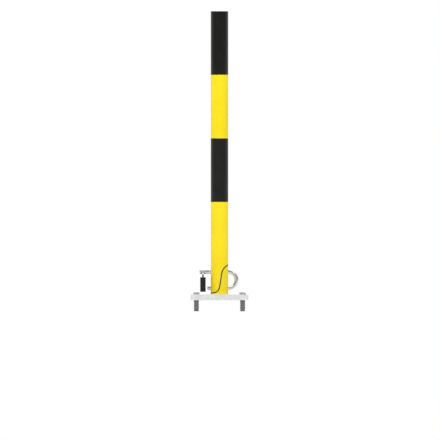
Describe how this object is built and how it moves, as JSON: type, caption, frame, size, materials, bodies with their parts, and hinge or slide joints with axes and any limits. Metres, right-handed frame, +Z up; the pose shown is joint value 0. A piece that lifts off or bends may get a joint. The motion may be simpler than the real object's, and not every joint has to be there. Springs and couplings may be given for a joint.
{
  "type": "fold-down bollard",
  "caption": "Fold-down round post bollard with yellow and black bands, a base plate with ground anchors, and a padlocked U-shaped bar through an S-cut hinge.",
  "frame": {"origin": "on the ground under the post's axis, at the middle of the anchor pattern on the base plate's underside", "axes": "+Z up along the post, +X towards the locking bar's bend, -Y towards the front; the post folds back towards +Y"},
  "size_m": [0.2, 0.2, 1.0385],
  "materials": {
    "galvanised_plate": "pale satin paint over steel plate",
    "yellow_powder_coat": "satin traffic-yellow powder coat",
    "black_film": "satin black self-adhesive film",
    "black_plastic": "moulded black cap",
    "zinc_steel": "bright zinc-plated round bar",
    "zinc_bolt": "zinc-plated bolt",
    "anchor_steel": "dull dark zinc-plated sleeve",
    "hardened_chrome": "chromed hardened steel",
    "black_case": "black coated cast case",
    "brass_plug": "turned brass"
  },
  "bodies": {
    "base": {"base_plate": "galvanised_plate", "ground_stub": "yellow_powder_coat", "base_weld": "yellow_powder_coat", "stub_hinge_bush": "zinc_steel", "stub_lock_bush": "zinc_steel", "anchor_bolt_front_left": "zinc_bolt", "anchor_sleeve_front_left": "anchor_steel", "anchor_cone_front_left": "anchor_steel", "anchor_bolt_front_right": "zinc_bolt", "anchor_sleeve_front_right": "anchor_steel", "anchor_cone_front_right": "anchor_steel", "anchor_bolt_back_left": "zinc_bolt", "anchor_sleeve_back_left": "anchor_steel", "anchor_cone_back_left": "anchor_steel", "anchor_bolt_back_right": "zinc_bolt", "anchor_sleeve_back_right": "anchor_steel", "anchor_cone_back_right": "anchor_steel"},
    "post": {"post_tube": "yellow_powder_coat", "post_hinge_bush": "zinc_steel", "post_cap": "black_plastic", "top_black_band": "black_film", "middle_black_band": "black_film"},
    "locking_bar": {"locking_bar": "zinc_steel"},
    "shackle": {"padlock_shackle": "hardened_chrome"},
    "padlock": {"padlock_case": "black_case"},
    "key_plug": {"padlock_key_plug": "brass_plug"}
  },
  "joints": [
    {"name": "post_fold", "type": "hinge", "parent": "base", "child": "post", "pos_m": [0, 0, 0.098], "axis": [-1, 0, 0], "range_deg": [0, 94]},
    {"name": "bar_draw", "type": "slide", "parent": "base", "child": "locking_bar", "axis": [1, 0, 0], "range_m": [0, 0.012]},
    {"name": "padlock_swing", "type": "hinge", "parent": "locking_bar", "child": "shackle", "pos_m": [-0.0573, 0, 0.098], "axis": [0, 1, 0], "range_deg": [-4, 60]},
    {"name": "padlock_release", "type": "slide", "parent": "shackle", "child": "padlock", "axis": [0, 0, -1], "range_m": [0, 0.0075]},
    {"name": "key_turn", "type": "hinge", "parent": "padlock", "child": "key_plug", "pos_m": [-0.0573, 0, 0.03], "axis": [0, 0, -1], "range_deg": [0, 90]}
  ]
}
